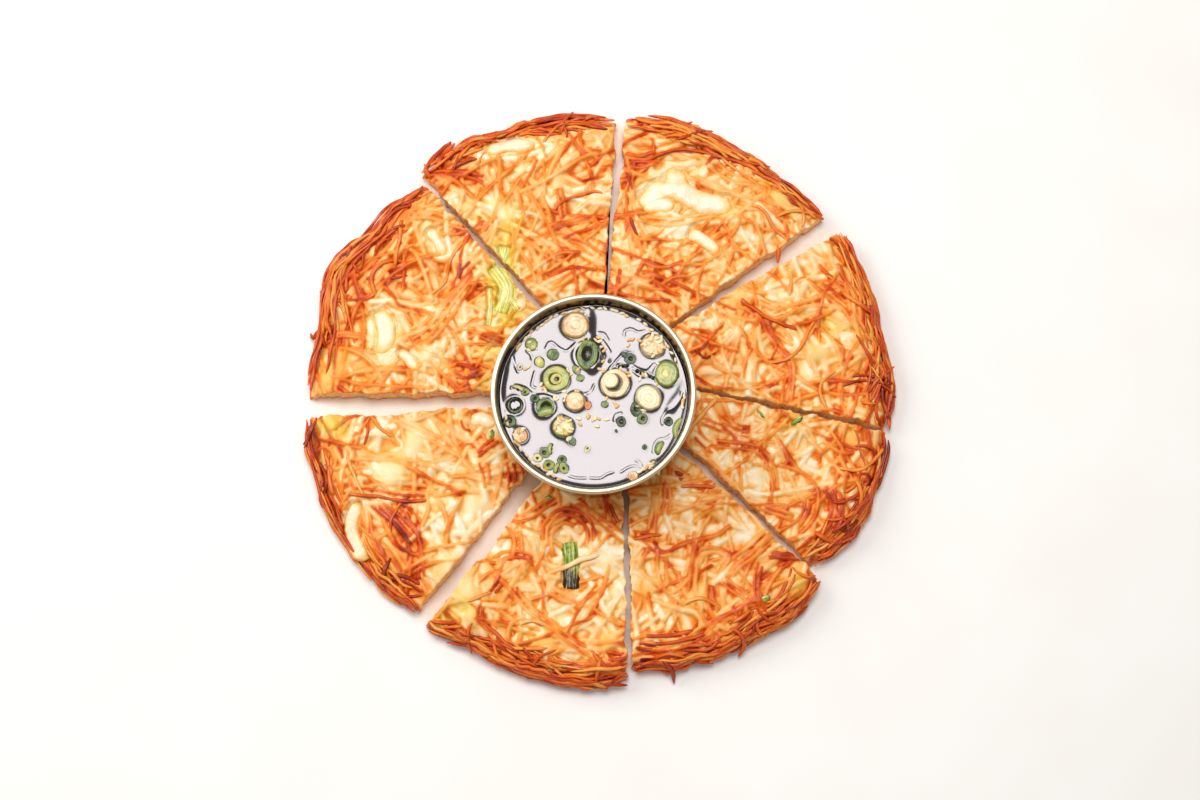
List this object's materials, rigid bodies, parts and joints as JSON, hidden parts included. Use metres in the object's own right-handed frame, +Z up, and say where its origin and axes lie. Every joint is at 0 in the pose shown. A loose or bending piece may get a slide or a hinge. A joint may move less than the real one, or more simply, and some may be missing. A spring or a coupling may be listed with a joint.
{
  "type": "seafood pancake",
  "caption": "Crisp shredded-potato seafood pancake, cut into wedges, with a small metal pot of soy dip standing on its middle.",
  "frame": {"origin": "centre of the whole's box, at the height of the surface the pancake lies on", "axes": "+Z up; +Y towards the top of the picture's picture, +X to its right"},
  "size_m": [0.2504, 0.2516, 0.0435],
  "materials": {
    "pancake": "fried potato shreds, golden to red-brown, oily sheen",
    "squid": "cooked squid, cream, slightly glossy",
    "greens": "cooked leek and spring onion",
    "pot_metal": "thin pale champagne-coloured metal, brushed, polished rolled rim",
    "soy_dip": "dark soy dip with a mirror-like surface",
    "dip_garnish": "wet slices of spring onion and shallot"
  },
  "bodies": {
    "root": {"slice_1": "pancake", "slice_2": "pancake", "slice_3": "pancake", "slice_4": "pancake", "slice_5": "pancake", "slice_6": "pancake", "slice_7": "pancake", "slice_8": "pancake", "squid_1": "squid", "squid_2": "squid", "squid_3": "squid", "squid_4": "squid", "squid_5": "squid", "squid_6": "squid", "leek_1": "greens", "scallion_1": "greens", "dip_pot": "pot_metal", "dip_sauce": "soy_dip", "garnish_1": "dip_garnish", "garnish_2": "dip_garnish", "garnish_3": "dip_garnish", "garnish_4": "dip_garnish", "garnish_5": "dip_garnish", "garnish_6": "dip_garnish", "garnish_7": "dip_garnish", "garnish_8": "dip_garnish", "garnish_9": "dip_garnish", "garnish_10": "dip_garnish", "garnish_11": "dip_garnish", "garnish_12": "dip_garnish"}
  },
  "joints": []
}
